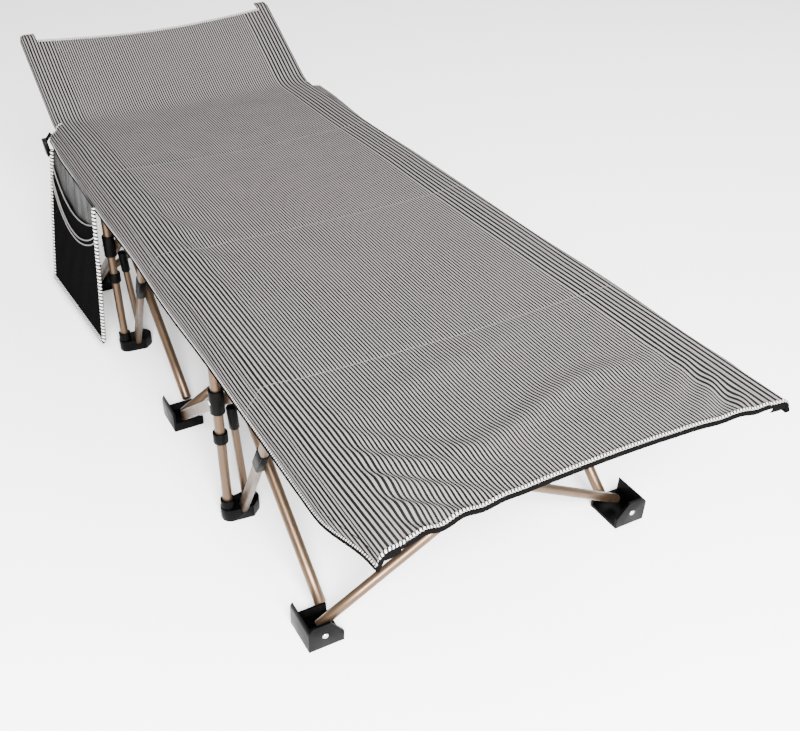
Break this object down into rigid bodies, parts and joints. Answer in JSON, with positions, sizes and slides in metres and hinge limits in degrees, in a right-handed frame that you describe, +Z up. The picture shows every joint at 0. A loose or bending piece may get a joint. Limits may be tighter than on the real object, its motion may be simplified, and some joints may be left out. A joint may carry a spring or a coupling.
{
  "type": "folding cot",
  "caption": "Folding camp cot with a taut striped fabric deck, raised headrest, crossed tube legs, ten feet and a hanging side pocket.",
  "frame": {"origin": "on the floor, under the middle of the cot and its side pocket", "axes": "+X to the right seen from the foot end, +Y towards the headrest, +Z up"},
  "size_m": [0.7445, 1.8874, 0.5589],
  "materials": {
    "champagne_steel": "satin champagne coating",
    "black_plastic": "moulded, fine grain",
    "striped_fabric": "woven grey and charcoal stripe",
    "black_mesh": "black mesh cloth"
  },
  "bodies": {
    "right_frame": {"right_foot_rail": "champagne_steel", "right_top_bracket_foot": "black_plastic", "right_long_leg_foot": "champagne_steel", "right_flat_leg_foot": "champagne_steel", "right_post_foot": "champagne_steel", "right_brace_foot": "champagne_steel", "right_strut_foot": "champagne_steel", "right_slider_foot": "black_plastic", "right_collar_foot": "black_plastic", "right_double_shoe_foot": "black_plastic", "right_head_rail": "champagne_steel", "right_top_bracket_head": "black_plastic", "right_long_leg_head": "champagne_steel", "right_flat_leg_head": "champagne_steel", "right_post_head": "champagne_steel", "right_brace_head": "champagne_steel", "right_strut_head": "champagne_steel", "right_slider_head": "black_plastic", "right_collar_head": "black_plastic", "right_double_shoe_head": "black_plastic", "right_rail_joint": "black_plastic", "deck_fabric": "striped_fabric"},
    "cross_legs_a": {"cross_leg_a_foot": "champagne_steel", "cross_leg_a_mid": "champagne_steel", "cross_leg_a_head": "champagne_steel"},
    "cross_legs_b": {"cross_leg_b_foot": "champagne_steel", "cross_leg_b_mid": "champagne_steel", "cross_leg_b_head": "champagne_steel"},
    "left_frame": {"left_foot_rail": "champagne_steel", "left_top_bracket_foot": "black_plastic", "left_long_leg_foot": "champagne_steel", "left_flat_leg_foot": "champagne_steel", "left_post_foot": "champagne_steel", "left_brace_foot": "champagne_steel", "left_strut_foot": "champagne_steel", "left_slider_foot": "black_plastic", "left_collar_foot": "black_plastic", "left_double_shoe_foot": "black_plastic", "left_head_rail": "champagne_steel", "left_top_bracket_head": "black_plastic", "left_long_leg_head": "champagne_steel", "left_flat_leg_head": "champagne_steel", "left_post_head": "champagne_steel", "left_brace_head": "champagne_steel", "left_strut_head": "champagne_steel", "left_slider_head": "black_plastic", "left_collar_head": "black_plastic", "left_double_shoe_head": "black_plastic", "left_rail_joint": "black_plastic", "side_pocket": "black_mesh"},
    "left_shoes": {"left_shoe_foot": "black_plastic", "left_shoe_mid": "black_plastic", "left_shoe_head": "black_plastic"},
    "right_shoes": {"right_shoe_foot": "black_plastic", "right_shoe_mid": "black_plastic", "right_shoe_head": "black_plastic"}
  },
  "joints": [
    {"name": "width_fold", "type": "hinge", "parent": "right_frame", "child": "cross_legs_a", "pos_m": [0.326, 0, 0.366], "axis": [0, -1, 0], "range_deg": [0, 49], "deforming": ["deck_fabric"]},
    {"name": "scissor_centre", "type": "hinge", "parent": "cross_legs_a", "child": "cross_legs_b", "pos_m": [0.02, 0, 0.198], "axis": [0, -1, 0], "range_deg": [-98, 0]},
    {"name": "left_rail_pivot", "type": "hinge", "parent": "cross_legs_b", "child": "left_frame", "pos_m": [-0.286, 0, 0.366], "axis": [0, -1, 0], "range_deg": [0, 49]},
    {"name": "left_shoe_pivot", "type": "hinge", "parent": "cross_legs_a", "child": "left_shoes", "pos_m": [-0.286, 0, 0.03], "axis": [0, -1, 0], "range_deg": [-49, 0]},
    {"name": "right_shoe_pivot", "type": "hinge", "parent": "cross_legs_b", "child": "right_shoes", "pos_m": [0.326, 0, 0.03], "axis": [0, -1, 0], "range_deg": [0, 49]}
  ],
  "couplings": [
    {"joint": "scissor_centre", "follows": "width_fold", "ratio": -2},
    {"joint": "left_rail_pivot", "follows": "width_fold", "ratio": 1},
    {"joint": "left_shoe_pivot", "follows": "width_fold", "ratio": -1},
    {"joint": "right_shoe_pivot", "follows": "width_fold", "ratio": 1}
  ]
}
